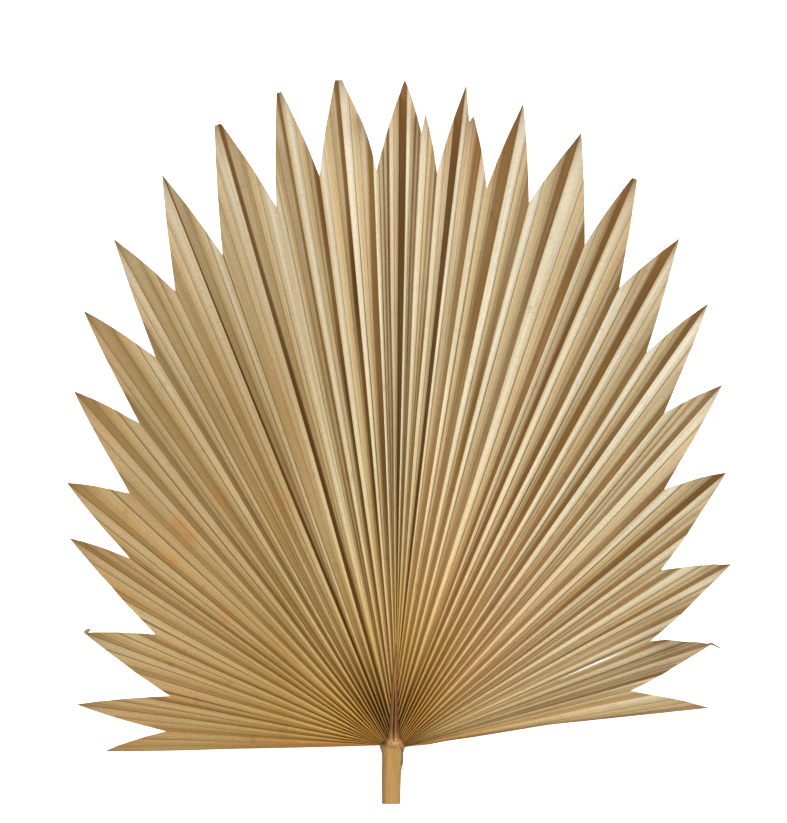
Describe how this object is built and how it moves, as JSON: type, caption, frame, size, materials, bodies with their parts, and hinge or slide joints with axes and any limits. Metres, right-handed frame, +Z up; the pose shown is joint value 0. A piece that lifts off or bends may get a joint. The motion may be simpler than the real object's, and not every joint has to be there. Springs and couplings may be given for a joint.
{
  "type": "dried sun palm leaf",
  "caption": "Dried and pressed fan palm leaf with radiating pleats, a scissor-cut saw-tooth margin and a short cut stalk, lying flat.",
  "frame": {"origin": "the small flat spot under the stalk's head, where the leaf rests on a surface", "axes": "+Y along the leaf from the cut stalk to the top teeth, +X to the right across the leaf, +Z up out of its upper face"},
  "size_m": [0.398, 0.4356, 0.0164],
  "materials": {
    "dried_blade": "satin",
    "dried_stalk": "satin"
  },
  "bodies": {
    "root": {"blade": "dried_blade", "stalk": "dried_stalk"}
  },
  "joints": []
}
